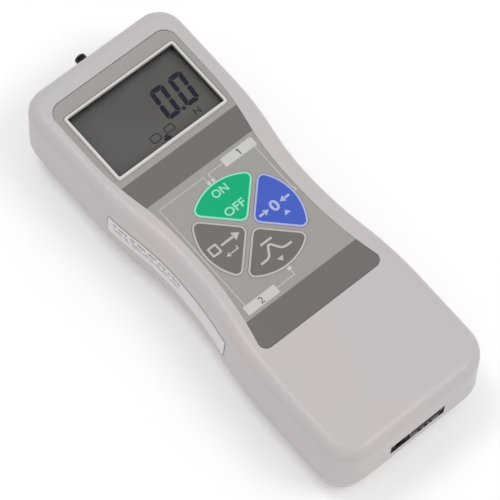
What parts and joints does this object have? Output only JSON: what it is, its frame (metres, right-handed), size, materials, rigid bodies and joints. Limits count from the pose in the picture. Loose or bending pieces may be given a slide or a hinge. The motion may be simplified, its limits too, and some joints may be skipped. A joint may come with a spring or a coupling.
{
  "type": "digital force gauge",
  "caption": "Handheld digital force gauge: waisted two-shell case, display, sector keypad, short measuring stem and end socket.",
  "frame": {"origin": "centre of the four stand-mounting threads, in the plane of the back", "axes": "+X across the case, +Y along the measuring axis towards the stem, +Z out of the front panel; the gauge lies on its back"},
  "size_m": [0.067, 0.1776, 0.0366],
  "materials": {
    "case_plastic": "fine moulded texture, warm light grey",
    "overlay_film": "satin printed film, mid grey",
    "label_paper": "satin film, pale grey",
    "bezel_plastic": "semi-gloss, off-white grey",
    "green_key": "satin green",
    "blue_key": "satin blue",
    "grey_key": "satin dark grey",
    "clear_window": "clear acrylic",
    "lcd_panel": "grey-green reflective display glass",
    "black_plastic": "moulded black",
    "conductive_rubber": "striped elastomer",
    "board_laminate": "green solder mask",
    "steel_screw": "zinc plated",
    "brass_bush": "turned brass",
    "frame_aluminium": "milled",
    "foil_gauge": "amber film",
    "stem_steel": "blackened steel",
    "battery_can": "shrink-sleeved cell",
    "socket_metal": "nickel plated",
    "contact_gold": "gold plated"
  },
  "bodies": {
    "case": {"front_case": "case_plastic", "rear_case": "case_plastic", "case_screws": "steel_screw", "side_label": "label_paper", "panel_overlay": "overlay_film", "key_switches": "black_plastic", "display_bezel": "bezel_plastic", "display_window": "clear_window", "lcd_glass": "lcd_panel", "lcd_contact_strips": "conductive_rubber", "lcd_holder": "black_plastic", "main_board": "board_laminate", "processor_chip": "black_plastic", "board_screws": "steel_screw", "load_frame": "frame_aluminium", "frame_screws": "steel_screw", "stand_bushes": "brass_bush", "cell_bracket": "frame_aluminium", "bracket_screws": "steel_screw", "cell_bolt": "steel_screw", "load_cell": "frame_aluminium", "strain_gauges": "foil_gauge", "stem_bush": "black_plastic", "battery_cells": "battery_can", "battery_holder": "black_plastic", "connector_board": "board_laminate", "connector_screws": "steel_screw", "output_socket": "socket_metal", "socket_tongue": "black_plastic", "socket_contacts": "contact_gold", "power_jack": "black_plastic"},
    "stem": {"measuring_stem": "stem_steel", "stem_lock_nut": "steel_screw"},
    "power_key": {"key_power": "green_key", "plunger_power": "black_plastic"},
    "send_key": {"key_send": "grey_key", "plunger_send": "black_plastic"},
    "peak_key": {"key_peak": "grey_key", "plunger_peak": "black_plastic"},
    "zero_key": {"key_zero": "blue_key", "plunger_zero": "black_plastic"}
  },
  "joints": [
    {"name": "stem_deflection", "type": "slide", "parent": "case", "child": "stem", "axis": [0, 1, 0], "range_m": [-0.0003, 0.0003], "stiffness_N_per_m": 16000},
    {"name": "power_press", "type": "slide", "parent": "case", "child": "power_key", "axis": [0, 0, -1], "range_m": [0, 0.00045], "stiffness_N_per_m": 3000},
    {"name": "send_press", "type": "slide", "parent": "case", "child": "send_key", "axis": [0, 0, -1], "range_m": [0, 0.00045], "stiffness_N_per_m": 3000},
    {"name": "peak_press", "type": "slide", "parent": "case", "child": "peak_key", "axis": [0, 0, -1], "range_m": [0, 0.00045], "stiffness_N_per_m": 3000},
    {"name": "zero_press", "type": "slide", "parent": "case", "child": "zero_key", "axis": [0, 0, -1], "range_m": [0, 0.00045], "stiffness_N_per_m": 3000}
  ]
}
